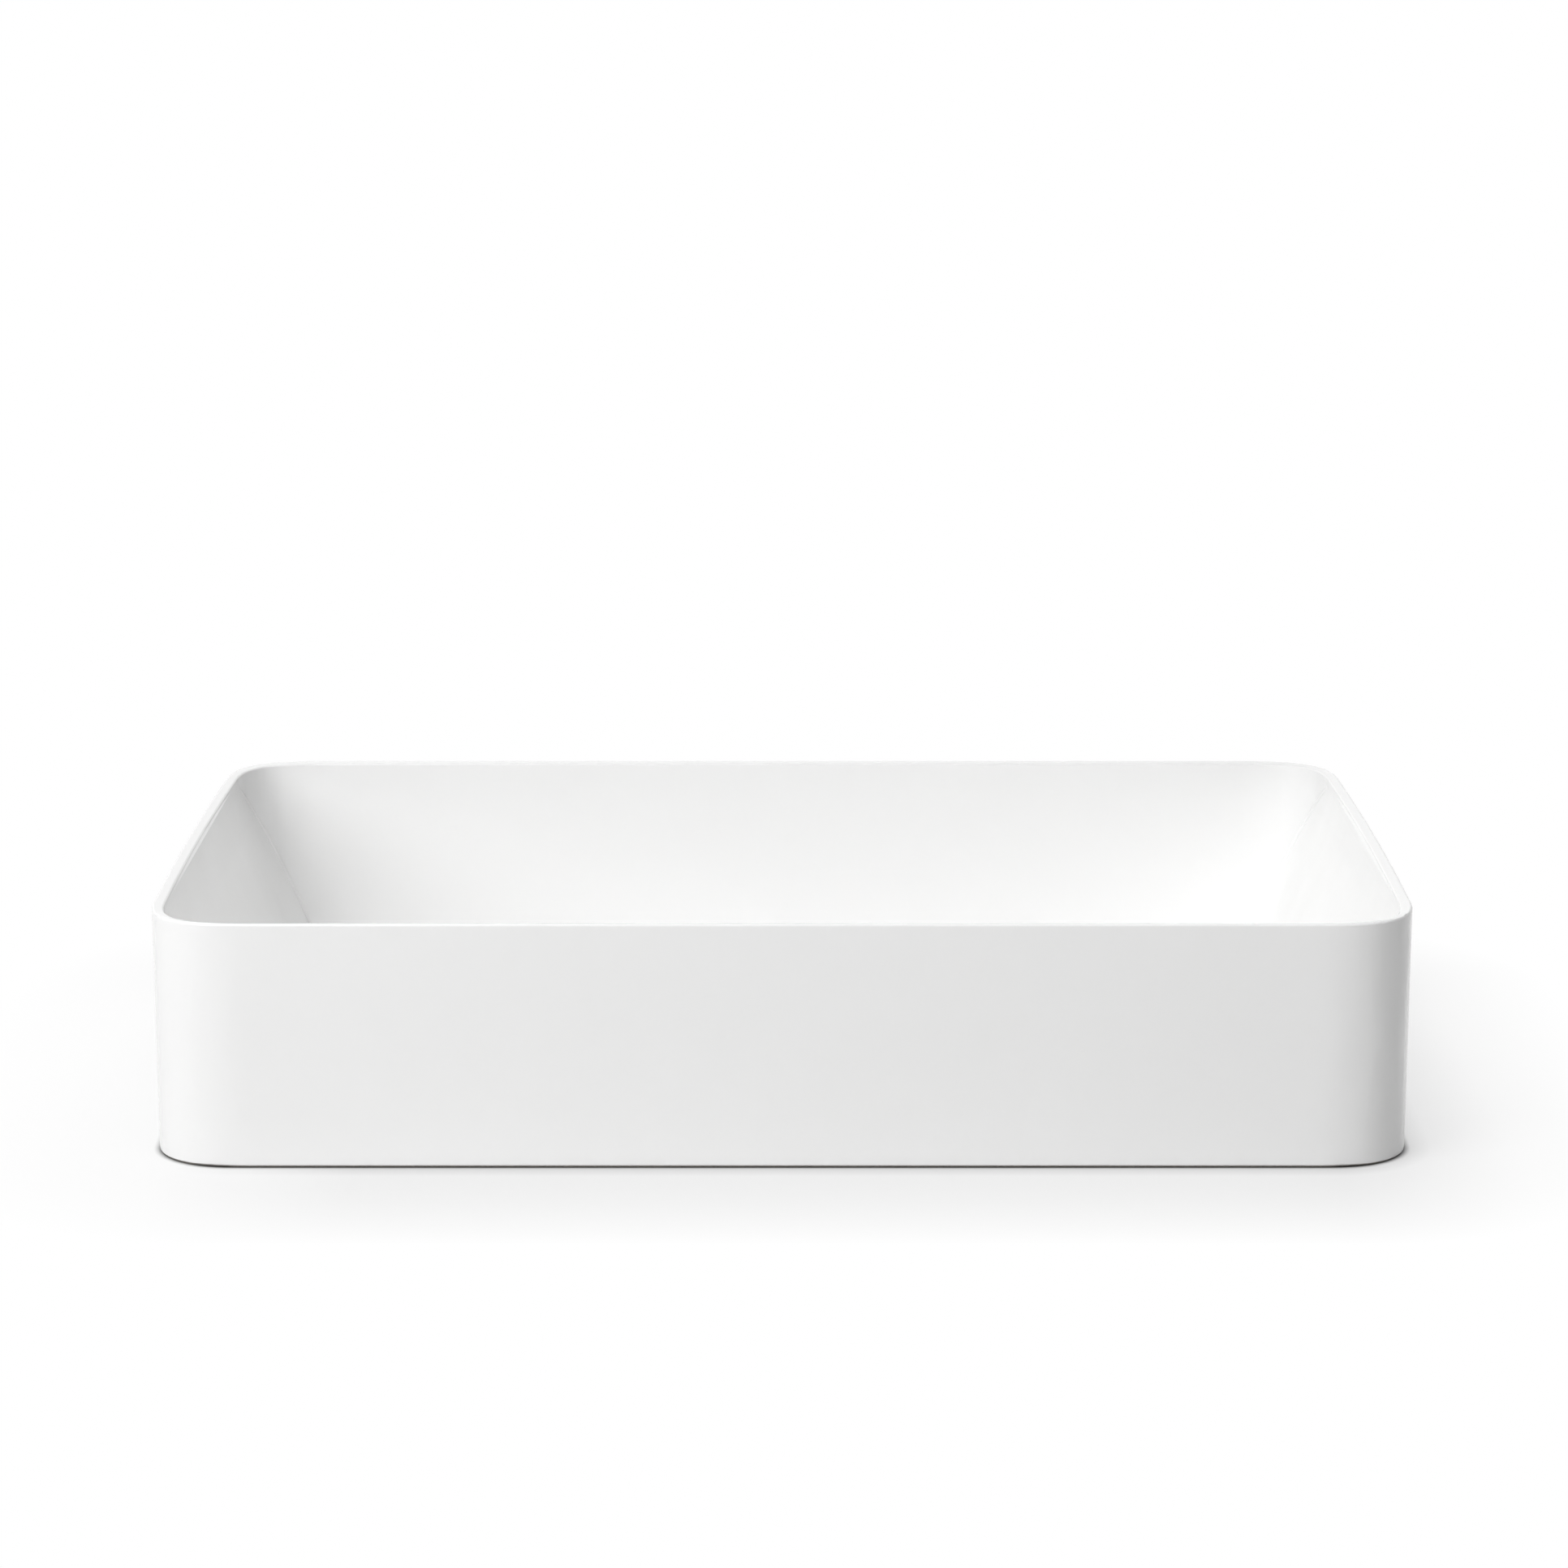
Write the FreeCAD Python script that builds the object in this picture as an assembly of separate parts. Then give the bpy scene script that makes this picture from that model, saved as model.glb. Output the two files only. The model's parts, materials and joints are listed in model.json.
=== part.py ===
"""Rectangular thin-rim washbasin with a push-open waste.

Millimetres. +Z is up, +X to the right and +Y to the back as seen by a person who stands
in front of it. The origin is the centre of the foot, on the worktop's surface. The plug is
modelled open, at the top of its travel.
"""
import FreeCAD, Part
import math
import os

V = FreeCAD.Vector
UP = V(0, 0, 1)

# ---- bowl: overall sizes ----
WIDTH = 600.0
DEPTH = 380.0
HEIGHT = 118.0

# ---- bowl: outline in plan ----
SIDE_BOW_RADIUS = 6700.0      # the short sides swell outwards a little
CORNER_LEAD_RADIUS = 80.0     # each corner eases in and out over this radius
CORNER_LEAD_ANGLE = 14.0      # degrees turned by each of those arcs
CORNER_MID_RADIUS = 33.0      # radius of the middle of a corner
OUTER_DRAFT = 0.6             # the base is this much smaller on each side

# ---- bowl: rim and inside ----
RIM_WIDTH = 5.5
RIM_OUTER_ROUND = 1.3
RIM_INNER_CHAMFER = 0.6
LONG_WALL_LEAN = 0.07         # inward lean of front and back walls, per mm of depth
END_WALL_LEAN = 0.435         # inward lean of the flat end walls, per mm of depth
END_WALL_START = 30.0         # depth at which the end wall becomes flat
END_CURVE_TOP_DEPTH = 2.8     # depth of the end wall's straight top edge
END_CURVE_TOP_INSET = 1.3     # that edge stands this far inside the rim, at mid-side
END_CURVE_RUN = 8.8           # how far in the end wall comes before it is flat
END_LEDGE_RISE = 1.2          # height of the small slanted ledge above that edge
FLOOR_Z = 19.0                # lowest point of the floor, above the worktop
FLOOR_FALL_LONG = 0.015       # fall of the floor towards the outlet, along X
FLOOR_FALL_SHORT = 0.020      # and along Y
FLOOR_ROUND = 10.0            # radius where walls meet the floor
ABOVE_RIM = 10.0              # how far the cutters reach past the rim

# ---- bowl: underside ----
BASE_EDGE_CHAMFER = 1.5       # ground foot
FLOOR_THICKNESS = 7.5
APRON_THICKNESS = 9.0         # outer wall at the hollow ends
END_WALL_THICKNESS = 8.0
HOLLOW_WALL = 14.0            # from the outside to the hollow under the floor
HOLLOW_CORNER = 22.0

# ---- outlet in the bowl ----
OUTLET_CLEARANCE = 2.045      # round the waste's thread
SEAT_CLEARANCE = 2.0          # round the waste's flange
SEAT_DEPTH = 3.0
BOSS_WALL = 8.0               # boss outside the seat
BOSS_DROP = 7.0               # underside of the boss, below the floor's underside

# ---- waste body ----
THREAD_RADIUS = 20.955        # G 1 1/4 tail, over the crests
TAIL_WALL = 2.955
TAIL_LENGTH = 62.5            # below the flange
FLANGE_OVERLAP = 9.0          # flange past the edge of the outlet
FLANGE_THICKNESS = 3.5
FLANGE_EDGE_CHAMFER = 0.8
FLANGE_LIP = 3.5              # flat rim of the flange outside its cone
THROAT_STEP = 1.6             # the cone ends this far outside the tail's bore
SEAT_CONE_FALL = 2.1
THROAT_HEIGHT = 3.0
SPIDER_RIBS = 4
SPIDER_RIB_WIDTH = 2.6
SPIDER_HEIGHT = 6.0
SPIDER_HUB_WALL = 3.5         # hub round the stud
TAIL_CHAMFER = 1.0

# ---- seals, washer and nut of the stack ----
FLANGE_SEAL_THICKNESS = 1.5
FLANGE_SEAL_INSET = 1.0       # inside the flange's edge
CONE_SEAL_OVERLAP = 8.0       # past the edge of the outlet
CONE_SEAL_TAPER = 3.5
CONE_SEAL_HEIGHT = 8.0
CONE_SEAL_NOSE = 5.0
SLIP_WASHER_WIDTH = 8.0       # outside the thread
SLIP_WASHER_THICKNESS = 2.0
BACK_NUT_WALL = 6.0           # outside the thread, across the flats
BACK_NUT_HEIGHT = 10.0
NUT_CORNER_RISE = 0.6         # slope of the turned-off corners of a nut
THREAD_CLEARANCE = 0.08
LOOSE_CLEARANCE = 0.3

# ---- tail pipe ----
PIPE_RADIUS = 16.0            # plain 32 mm pipe, as a trap's compression nut takes
PIPE_WALL = 1.4
PIPE_LENGTH = 50.0            # plain length below the collar
PIPE_COLLAR_HEIGHT = 3.0
PIPE_SCREW_LENGTH = 9.0       # screwed into the lower end of the waste's tail
PIPE_SEAL_THICKNESS = 1.5

# ---- push cartridge ----
STROKE = 9.0
STEP_ANGLE = 45.0             # the drum turns this much over one stroke
SLEEVE_RADIUS = 9.0
SLEEVE_WALL = 1.3
SLEEVE_FLOOR = 3.0
SLEEVE_SPARE = 6.2            # under the plunger when the plug is down
CAP_ABOVE_SLEEVE = 3.0
CAP_SPIGOT = 2.0
CAP_CHAMFER = 0.6
STUD_RADIUS = 4.0
STUD_CHAMFER = 0.6
STUD_END_LENGTH = 1.5         # stud below its lock nut
LOCK_NUT_WALL = 2.5           # outside the stud, across the flats
LOCK_NUT_HEIGHT = 4.5
PLUNGER_RADIUS = 3.0
RUNNING_CLEARANCE = 0.08
AXIAL_CLEARANCE = 0.1         # the drum's play between collar and clip
COLLAR_WIDTH = 2.2            # outside the plunger
COLLAR_HEIGHT = 2.0
DRUM_CLEARANCE = 0.25
TRACK_DEPTH = 2.1
TRACK_FLOOR_GAP = 0.8         # end of the pin to the floor of the track
TRACK_PIN_RADIUS = 1.0
TRACK_CLEARANCE = 0.5
TRACK_TOP_MARGIN = 4.0        # drum's upper edge to the pin when the plug is down
TRACK_MARGIN = 3.0            # drum's lower edge to the pin when the plug is up
CLIP_WIDTH = 2.4              # outside the plunger
CLIP_THICKNESS = 0.8
CLIP_GROOVE_DEPTH = 0.6
CLIP_MOUTH = 0.8              # width of the clip's mouth, as a share of its bore
PLUNGER_TIP = 1.5
THRUST_WASHER_THICKNESS = 0.8
SPRING_WIRE_RADIUS = 0.45
SPRING_TURNS = 4.0
SPRING_WIRE_SIDES = 5         # the wire's section is drawn as a polygon to keep facets few
SPRING_ROOM = 0.55            # between the clip and the spring
WIPER_SECTION = 0.7
WIPER_GROOVE_CLEARANCE = 0.1
STOP_GAP = 0.3                # collar to cap when the plug is up

# ---- plug ----
CAP_INSET = 1.0               # inside the flange's edge
CAP_EDGE_THICKNESS = 3.0
CAP_CROWN = 1.6
CAP_EDGE_CHAMFER = 0.7
CLOSED_GAP = 0.3              # under cap and seal when the plug is down
CAP_HUB_WALL = 1.6            # outside the plunger
CAP_HUB_LENGTH = 4.2
CAP_SCREW_DEPTH = 5.0         # how far the plunger's end reaches into the cap
CARRIER_INSET = 1.2           # carrier inside the foot of the flange's cone
CARRIER_GROOVE = 2.9          # depth of the groove that holds the seal
CARRIER_THICKNESS = 3.2
CARRIER_RIM_THICKNESS = 1.0
PLUG_SEAL_INSET = 2.5         # seal inside the top of the flange's cone

# ---- radii and widths that follow from the sizes above ----
OUTLET_RADIUS = THREAD_RADIUS + OUTLET_CLEARANCE
FLANGE_RADIUS = OUTLET_RADIUS + FLANGE_OVERLAP
SEAT_RADIUS = FLANGE_RADIUS + SEAT_CLEARANCE
BOSS_RADIUS = SEAT_RADIUS + BOSS_WALL
TAIL_BORE = THREAD_RADIUS - TAIL_WALL
SEAT_CONE_OUTER = FLANGE_RADIUS - FLANGE_LIP
SEAT_CONE_INNER = TAIL_BORE + THROAT_STEP
CONE_SEAL_RADIUS = OUTLET_RADIUS + CONE_SEAL_OVERLAP
PIPE_BORE = PIPE_RADIUS - PIPE_WALL
PIPE_COLLAR_RADIUS = THREAD_RADIUS - TAIL_CHAMFER
PIPE_SCREW_RADIUS = TAIL_BORE - THREAD_CLEARANCE
COLLAR_RADIUS = PLUNGER_RADIUS + COLLAR_WIDTH
CLIP_RADIUS = PLUNGER_RADIUS + CLIP_WIDTH
CHAMBER_RADIUS = SLEEVE_RADIUS - SLEEVE_WALL
DRUM_RADIUS = CHAMBER_RADIUS - DRUM_CLEARANCE
DRUM_HEIGHT = TRACK_MARGIN + STROKE + TRACK_TOP_MARGIN
SPRING_MEAN_RADIUS = CLIP_RADIUS + SPRING_ROOM + SPRING_WIRE_RADIUS
CAP_RADIUS = FLANGE_RADIUS - CAP_INSET
CAP_HUB_RADIUS = PLUNGER_RADIUS + CAP_HUB_WALL
CARRIER_RIM_RADIUS = SEAT_CONE_INNER - CARRIER_INSET
CARRIER_CORE_RADIUS = CARRIER_RIM_RADIUS - CARRIER_GROOVE
PLUG_SEAL_RADIUS = SEAT_CONE_OUTER - PLUG_SEAL_INSET

# ---- heights that follow from the sizes above ----
INNER_DEPTH = HEIGHT - FLOOR_Z
SEAT_Z = FLOOR_Z - SEAT_DEPTH
FLANGE_UNDER_Z = SEAT_Z + FLANGE_SEAL_THICKNESS
FLANGE_TOP_Z = FLANGE_UNDER_Z + FLANGE_THICKNESS
TAIL_END_Z = FLANGE_UNDER_Z - TAIL_LENGTH
PIPE_COLLAR_TOP_Z = TAIL_END_Z - PIPE_SEAL_THICKNESS
PIPE_COLLAR_LOW_Z = PIPE_COLLAR_TOP_Z - PIPE_COLLAR_HEIGHT
PIPE_END_Z = PIPE_COLLAR_LOW_Z - PIPE_LENGTH
PIPE_TOP_Z = TAIL_END_Z + PIPE_SCREW_LENGTH
BOSS_FLOOR = FLOOR_Z - FLOOR_THICKNESS - BOSS_DROP
CONE_SEAL_LOW_Z = BOSS_FLOOR - CONE_SEAL_HEIGHT
SLIP_WASHER_LOW_Z = CONE_SEAL_LOW_Z - SLIP_WASHER_THICKNESS
BACK_NUT_LOW_Z = SLIP_WASHER_LOW_Z - BACK_NUT_HEIGHT
SEAT_CONE_LOW_Z = FLANGE_TOP_Z - SEAT_CONE_FALL
CAP_UNDER_Z = FLANGE_TOP_Z + CLOSED_GAP + STROKE
CARRIER_LOW_Z = CAP_UNDER_Z - CARRIER_THICKNESS
PLUNGER_TOP_Z = CAP_UNDER_Z - CAP_HUB_LENGTH + CAP_SCREW_DEPTH
CARTRIDGE_TOP_Z = CAP_UNDER_Z - CAP_HUB_LENGTH - STROKE - 2 * CLOSED_GAP
CHAMBER_TOP_Z = CARTRIDGE_TOP_Z - CAP_ABOVE_SLEEVE - CAP_SPIGOT
SLEEVE_TOP_Z = CARTRIDGE_TOP_Z - CAP_ABOVE_SLEEVE
COLLAR_TOP_Z = CHAMBER_TOP_Z - STOP_GAP
COLLAR_LOW_Z = COLLAR_TOP_Z - COLLAR_HEIGHT
DRUM_TOP_Z = COLLAR_LOW_Z - AXIAL_CLEARANCE
DRUM_LOW_Z = DRUM_TOP_Z - DRUM_HEIGHT
CLIP_TOP_Z = DRUM_LOW_Z - AXIAL_CLEARANCE
CLIP_LOW_Z = CLIP_TOP_Z - CLIP_THICKNESS
THRUST_LOW_Z = DRUM_LOW_Z - AXIAL_CLEARANCE - THRUST_WASHER_THICKNESS
TRACK_PIN_Z = DRUM_LOW_Z + TRACK_MARGIN
PLUNGER_LOW_Z = CLIP_LOW_Z - PLUNGER_TIP
CHAMBER_FLOOR_Z = PLUNGER_LOW_Z - STROKE - SLEEVE_SPARE
SLEEVE_LOW_Z = CHAMBER_FLOOR_Z - SLEEVE_FLOOR
SPIDER_LOW_Z = SLEEVE_LOW_Z - SPIDER_HEIGHT
LOCK_NUT_LOW_Z = SPIDER_LOW_Z - LOCK_NUT_HEIGHT
STUD_END_Z = LOCK_NUT_LOW_Z - STUD_END_LENGTH


# ---- helpers ----
def side_bow_angle(half_depth, bow, lead, mid):
    """Half the angle that a bowed side turns, so that the outline is half_depth deep."""
    ease = math.radians(CORNER_LEAD_ANGLE)
    a = (bow - lead) + (lead - mid) * math.cos(ease)
    b = (lead - mid) * math.sin(ease)
    reach = half_depth - mid * math.cos(ease) - lead * (1 - math.cos(ease))
    return math.asin(reach / math.hypot(a, b)) - math.atan2(b, a)


def left_arc(point, heading, radius, angle):
    """An arc that leaves point along heading and turns left, with its end and new heading."""
    centre = point + V(-math.sin(heading), math.cos(heading), 0) * radius
    start = heading - math.pi / 2
    arc = Part.ArcOfCircle(Part.Circle(centre, UP, radius), start, start + angle)
    return arc.toShape(), arc.EndPoint, heading + angle


def outline(inset, z):
    """The bowl's outline in plan, moved inwards by inset, as a closed wire at height z."""
    bow = SIDE_BOW_RADIUS - inset
    lead = CORNER_LEAD_RADIUS - inset
    mid = CORNER_MID_RADIUS - inset
    ease = math.radians(CORNER_LEAD_ANGLE)
    swing = side_bow_angle(DEPTH / 2 - inset, bow, lead, mid)
    corner = [(lead, ease), (mid, math.pi / 2 - swing - 2 * ease), (lead, ease)]
    straight_half = WIDTH / 2 - inset
    heading = 0.0
    for radius, angle in [(bow, swing)] + corner:
        straight_half -= radius * (math.cos(heading) - math.cos(heading + angle))
        heading += angle
    point = V(WIDTH / 2 - inset - bow * (1 - math.cos(swing)), -bow * math.sin(swing), z)
    heading = math.pi / 2 - swing
    edges = []
    for _ in range(2):
        for radius, angle in [(bow, 2 * swing)] + corner:
            arc, point, heading = left_arc(point, heading, radius, angle)
            edges.append(arc)
        end = point + V(math.cos(heading), math.sin(heading), 0) * 2 * straight_half
        edges.append(Part.makeLine(point, end))
        point = end
        for radius, angle in corner:
            arc, point, heading = left_arc(point, heading, radius, angle)
            edges.append(arc)
    return Part.Wire(edges)


def revolve(points):
    """A solid of revolution about Z from (radius, height) points."""
    wire = Part.makePolygon([V(r, 0, z) for r, z in points + points[:1]])
    return Part.Face(wire).revolve(V(0, 0, 0), UP, 360)


def disc(radius, low, high):
    return Part.makeCylinder(radius, high - low, V(0, 0, low))


def ring(inner, outer, low, high):
    return disc(outer, low, high).cut(disc(inner, low - 1, high + 1))


def circles_at(shape, radius, height):
    """The circular edges about Z with this radius and height."""
    found = []
    for edge in shape.Edges:
        if edge.Degenerated or not isinstance(edge.Curve, Part.Circle):
            continue
        same_radius = abs(edge.Curve.Radius - radius) < 1e-4
        if same_radius and abs(edge.Curve.Center.z - height) < 1e-4:
            found.append(edge)
    return found


def flat_face(shape, height):
    """The largest flat face that looks up at this height."""
    found = []
    for face in shape.Faces:
        box = face.BoundBox
        if abs(box.ZMin - height) < 1e-4 and abs(box.ZMax - height) < 1e-4:
            found.append(face)
    return max(found, key=lambda face: face.Area)


def edges_in_plane(shape, height):
    """The edges that lie flat at this height."""
    found = []
    for edge in shape.Edges:
        box = edge.BoundBox
        if abs(box.ZMin - height) < 1e-4 and abs(box.ZMax - height) < 1e-4:
            found.append(edge)
    return found


def hexagon(across_flats, low, high):
    """A hexagon prism with its lower corners turned off, as on a nut that seats on top."""
    corner = across_flats / math.sqrt(3)
    points = [V(corner * math.cos(math.pi / 3 * k), corner * math.sin(math.pi / 3 * k), low)
              for k in range(7)]
    prism = Part.Face(Part.makePolygon(points)).extrude(V(0, 0, high - low))
    turned = revolve([(0, low), (across_flats / 2, low),
                      (corner, low + NUT_CORNER_RISE * (corner - across_flats / 2)),
                      (corner, high), (0, high)])
    return prism.common(turned)


# ---- bowl ----
def end_profile(lean_out, floor_z):
    """The inside of the bowl seen from the front, as a block that runs front to back.

    lean_out moves the end walls outwards: the hollow below uses the same profile.
    """
    top_x = WIDTH / 2 - RIM_WIDTH - END_CURVE_TOP_INSET + lean_out
    top = V(top_x, 0, HEIGHT - END_CURVE_TOP_DEPTH)
    flat = V(top_x - END_CURVE_RUN, 0, HEIGHT - END_WALL_START)
    along = V(-END_WALL_LEAN, 0, -1).normalize()
    chord = flat - top
    sweep = math.acos(chord.dot(along) / chord.Length)
    outwards = V(-chord.z, 0, chord.x).normalize()
    bend = (top + flat) * 0.5 + outwards * (chord.Length / 2 * math.tan(sweep / 2))
    drop = flat.z - floor_z - FLOOR_FALL_LONG * flat.x
    drop /= 1 - FLOOR_FALL_LONG * END_WALL_LEAN
    foot = V(flat.x - END_WALL_LEAN * drop, 0, flat.z - drop)
    ledge = V(top_x + END_CURVE_TOP_INSET, 0, top.z + END_LEDGE_RISE)
    outside = top_x + ABOVE_RIM
    high = HEIGHT + ABOVE_RIM
    wall = [V(0, 0, floor_z), foot, flat]
    lip = [top, ledge, V(outside, 0, ledge.z), V(outside, 0, high), V(0, 0, high)]
    edges = []
    for side in (1, -1):
        for line in (wall, lip):
            for a, b in zip(line, line[1:]):
                edges.append(Part.makeLine(V(side * a.x, 0, a.z), V(side * b.x, 0, b.z)))
        arc = Part.Arc(V(side * flat.x, 0, flat.z), V(side * bend.x, 0, bend.z),
                       V(side * top.x, 0, top.z))
        edges.append(arc.toShape())
    block = Part.Face(Part.Wire(Part.__sortEdges__(edges))).extrude(V(0, DEPTH, 0))
    block.translate(V(0, -DEPTH / 2, 0))
    feet = []
    for edge in block.Edges:
        middle = edge.CenterOfMass
        if abs(abs(middle.x) - foot.x) < 1e-3 and abs(middle.z - foot.z) < 1e-3:
            feet.append(edge)
    return block.makeFillet(FLOOR_ROUND, feet)


def side_profile():
    """The inside seen from the end: walls that lean a little and a floor that falls inwards."""
    half = DEPTH / 2 - RIM_WIDTH
    foot_y = (half - LONG_WALL_LEAN * INNER_DEPTH) / (1 - LONG_WALL_LEAN * FLOOR_FALL_SHORT)
    foot_z = FLOOR_Z + FLOOR_FALL_SHORT * foot_y
    top_y = half + LONG_WALL_LEAN * ABOVE_RIM
    top_z = HEIGHT + ABOVE_RIM
    points = [V(0, 0, FLOOR_Z), V(0, foot_y, foot_z), V(0, top_y, top_z),
              V(0, -top_y, top_z), V(0, -foot_y, foot_z), V(0, 0, FLOOR_Z)]
    block = Part.Face(Part.makePolygon(points)).extrude(V(WIDTH, 0, 0))
    block.translate(V(-WIDTH / 2, 0, 0))
    feet = []
    for edge in block.Edges:
        if edge.BoundBox.XLength > WIDTH - 1 and abs(edge.CenterOfMass.z - foot_z) < 1e-3:
            feet.append(edge)
    return block.makeFillet(FLOOR_ROUND, feet)


def bowl_inside():
    """Everything that is air inside the bowl, up to just above the rim."""
    low = FLOOR_Z - 1
    top = outline(RIM_WIDTH - LONG_WALL_LEAN * ABOVE_RIM, HEIGHT + ABOVE_RIM)
    bottom = outline(RIM_WIDTH + LONG_WALL_LEAN * (HEIGHT - low), low)
    pocket = Part.makeLoft([bottom, top], True, True)
    return pocket.common(end_profile(0, FLOOR_Z)).common(side_profile())


def underside_hollow():
    """The air under the floor, with the two wedges that rise behind the end walls."""
    ceiling = FLOOR_Z - FLOOR_THICKNESS
    length = WIDTH - 2 * APRON_THICKNESS
    depth = DEPTH - 2 * HOLLOW_WALL
    block = Part.makeBox(length, depth, HEIGHT, V(-length / 2, -depth / 2, -1))
    corners = []
    for edge in block.Edges:
        if edge.BoundBox.ZLength > HEIGHT - 1:
            corners.append(edge)
    block = block.makeFillet(HOLLOW_CORNER, corners)
    return block.cut(end_profile(END_WALL_THICKNESS, ceiling))


def basin_bowl():
    body = Part.makeLoft([outline(OUTER_DRAFT, 0), outline(0, HEIGHT)], True, True)
    body = body.makeChamfer(BASE_EDGE_CHAMFER, edges_in_plane(body, 0))
    body = body.makeFillet(RIM_OUTER_ROUND, edges_in_plane(body, HEIGHT))
    body = body.cut(bowl_inside())
    top_face = flat_face(body, HEIGHT)
    opening = [w for w in top_face.Wires if not w.isSame(top_face.OuterWire)][0]
    body = body.makeChamfer(RIM_INNER_CHAMFER, opening.Edges)
    body = body.cut(underside_hollow())
    boss = disc(BOSS_RADIUS, BOSS_FLOOR, FLOOR_Z - FLOOR_THICKNESS + 1)
    body = body.fuse(boss)
    seat = disc(SEAT_RADIUS, SEAT_Z, FLOOR_Z + SEAT_DEPTH)
    hole = disc(OUTLET_RADIUS, BOSS_FLOOR - 1, SEAT_Z + 1)
    body = body.cut(seat).cut(hole)
    return body.removeSplitter()


# ---- stack that seals and clamps the waste ----
def flange_seal():
    return ring(THREAD_RADIUS + LOOSE_CLEARANCE, FLANGE_RADIUS - FLANGE_SEAL_INSET,
                SEAT_Z, FLANGE_UNDER_Z)


def cone_seal():
    bore = THREAD_RADIUS + THREAD_CLEARANCE
    nose = OUTLET_RADIUS - LOOSE_CLEARANCE
    return revolve([
        (bore, CONE_SEAL_LOW_Z), (CONE_SEAL_RADIUS - CONE_SEAL_TAPER, CONE_SEAL_LOW_Z),
        (CONE_SEAL_RADIUS, BOSS_FLOOR), (nose, BOSS_FLOOR),
        (nose - CONE_SEAL_NOSE / 5, BOSS_FLOOR + CONE_SEAL_NOSE),
        (bore, BOSS_FLOOR + CONE_SEAL_NOSE)])


def slip_washer():
    return ring(THREAD_RADIUS + THREAD_CLEARANCE, THREAD_RADIUS + SLIP_WASHER_WIDTH,
                SLIP_WASHER_LOW_Z, CONE_SEAL_LOW_Z)


def back_nut():
    across_flats = 2 * (THREAD_RADIUS + BACK_NUT_WALL)
    nut = hexagon(across_flats, BACK_NUT_LOW_Z, SLIP_WASHER_LOW_Z)
    return nut.cut(disc(THREAD_RADIUS + THREAD_CLEARANCE, BACK_NUT_LOW_Z - 1, FLANGE_TOP_Z))


# ---- waste body ----
def waste_body():
    """Flange with its conical seat, threaded tail and the spider inside it."""
    body = revolve([
        (TAIL_BORE, TAIL_END_Z), (THREAD_RADIUS - TAIL_CHAMFER, TAIL_END_Z),
        (THREAD_RADIUS, TAIL_END_Z + TAIL_CHAMFER), (THREAD_RADIUS, FLANGE_UNDER_Z),
        (FLANGE_RADIUS, FLANGE_UNDER_Z), (FLANGE_RADIUS, FLANGE_TOP_Z - FLANGE_EDGE_CHAMFER),
        (FLANGE_RADIUS - FLANGE_EDGE_CHAMFER, FLANGE_TOP_Z),
        (SEAT_CONE_OUTER, FLANGE_TOP_Z), (SEAT_CONE_INNER, SEAT_CONE_LOW_Z),
        (TAIL_BORE, SEAT_CONE_LOW_Z - THROAT_HEIGHT)])
    spider = disc(STUD_RADIUS + SPIDER_HUB_WALL, SPIDER_LOW_Z, SLEEVE_LOW_Z)
    for k in range(SPIDER_RIBS):
        rib = Part.makeBox(TAIL_BORE + TAIL_WALL / 2, SPIDER_RIB_WIDTH, SPIDER_HEIGHT,
                           V(0, -SPIDER_RIB_WIDTH / 2, SPIDER_LOW_Z))
        spider = spider.fuse(rib.rotate(V(0, 0, 0), UP, 360 / SPIDER_RIBS * (k + 0.5)))
    spider = spider.cut(disc(STUD_RADIUS + THREAD_CLEARANCE, SPIDER_LOW_Z - 1, FLANGE_TOP_Z))
    return body.fuse(spider).removeSplitter()


# ---- tail pipe ----
def tail_seal():
    """Flat ring between the end of the waste's tail and the pipe's collar."""
    return ring(PIPE_SCREW_RADIUS + LOOSE_CLEARANCE, PIPE_COLLAR_RADIUS,
                PIPE_COLLAR_TOP_Z, TAIL_END_Z)


def tail_pipe():
    """Plain pipe with a collar and the end that screws into the waste's tail."""
    return revolve([
        (PIPE_BORE, PIPE_END_Z), (PIPE_RADIUS, PIPE_END_Z), (PIPE_RADIUS, PIPE_COLLAR_LOW_Z),
        (PIPE_COLLAR_RADIUS, PIPE_COLLAR_LOW_Z), (PIPE_COLLAR_RADIUS, PIPE_COLLAR_TOP_Z),
        (PIPE_SCREW_RADIUS, PIPE_COLLAR_TOP_Z), (PIPE_SCREW_RADIUS, PIPE_TOP_Z),
        (PIPE_BORE, PIPE_TOP_Z)])


# ---- push cartridge ----
def cartridge_body():
    """Sleeve closed at the bottom, with the stud that goes through the spider."""
    sleeve = revolve([
        (0, STUD_END_Z), (STUD_RADIUS - STUD_CHAMFER, STUD_END_Z),
        (STUD_RADIUS, STUD_END_Z + STUD_CHAMFER), (STUD_RADIUS, SLEEVE_LOW_Z),
        (SLEEVE_RADIUS, SLEEVE_LOW_Z), (SLEEVE_RADIUS, SLEEVE_TOP_Z),
        (CHAMBER_RADIUS, SLEEVE_TOP_Z), (CHAMBER_RADIUS, CHAMBER_FLOOR_Z),
        (0, CHAMBER_FLOOR_Z)])
    return sleeve.cut(track_pin_shape())


def cartridge_lock_nut():
    nut = hexagon(2 * (STUD_RADIUS + LOCK_NUT_WALL), LOCK_NUT_LOW_Z, SPIDER_LOW_Z)
    return nut.cut(disc(STUD_RADIUS + THREAD_CLEARANCE, LOCK_NUT_LOW_Z - 1, SPIDER_LOW_Z + 1))


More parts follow.
